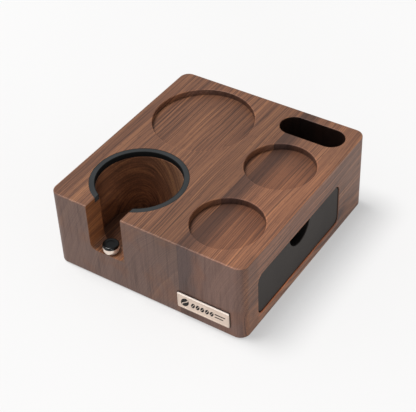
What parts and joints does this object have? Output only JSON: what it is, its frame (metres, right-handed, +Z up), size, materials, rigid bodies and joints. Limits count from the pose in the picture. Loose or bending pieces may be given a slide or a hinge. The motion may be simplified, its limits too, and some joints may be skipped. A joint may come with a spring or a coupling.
{
  "type": "espresso tamping station",
  "caption": "Walnut tamping station block with a ringed portafilter bore and handle notch, round tool recesses, an oval brush well and a sliding side drawer.",
  "frame": {"origin": "on the table, below the centre of the wooden block", "axes": "+X to the right along the front face (the drawer's side), +Y from the notched front face to the back, +Z up"},
  "size_m": [0.186, 0.202, 0.076],
  "materials": {
    "walnut": "oiled, satin",
    "black_silicone": "matte",
    "brass": "plain",
    "champagne_metal": "brushed, anodised champagne",
    "gloss_rubber": "semi-gloss",
    "foam_tape": "matte",
    "magnet_plating": "nickel plated",
    "charcoal_coating": "matte textured coating",
    "black_stained_wood": "black stain, matte",
    "beech": "raw",
    "screw_steel": "zinc plated"
  },
  "bodies": {
    "station": {"stave_left": "walnut", "stave_right": "walnut", "portafilter_ring": "black_silicone", "support_insert": "brass", "nameplate": "champagne_metal", "nameplate_tape": "foam_tape", "catch_magnets": "magnet_plating", "foot_front_left": "black_silicone", "foot_front_right": "black_silicone", "foot_rear_left": "black_silicone", "foot_rear_right": "black_silicone"},
    "drawer": {"drawer_front": "charcoal_coating", "drawer_side_front": "black_stained_wood", "drawer_side_rear": "black_stained_wood", "drawer_back": "black_stained_wood", "drawer_bottom": "black_stained_wood", "drawer_dowels": "beech", "drawer_screws": "screw_steel", "drawer_magnets": "magnet_plating"},
    "support_pad": {"support_cap": "gloss_rubber"},
    "support": {"support_screw": "champagne_metal"}
  },
  "joints": [
    {"name": "drawer_slide", "type": "slide", "parent": "station", "child": "drawer", "axis": [1, 0, 0], "range_m": [0, 0.06]},
    {"name": "support_height", "type": "slide", "parent": "station", "child": "support_pad", "axis": [0, 0, 1], "range_m": [0, 0.005]},
    {"name": "support_turn", "type": "hinge", "parent": "support_pad", "child": "support", "pos_m": [-0.0388, -0.0937, 0.035], "axis": [0, 0, 1], "range_deg": [0, 1800]}
  ],
  "couplings": [
    {"joint": "support_turn", "follows": "support_height", "rad_per_m": 6283.2}
  ]
}
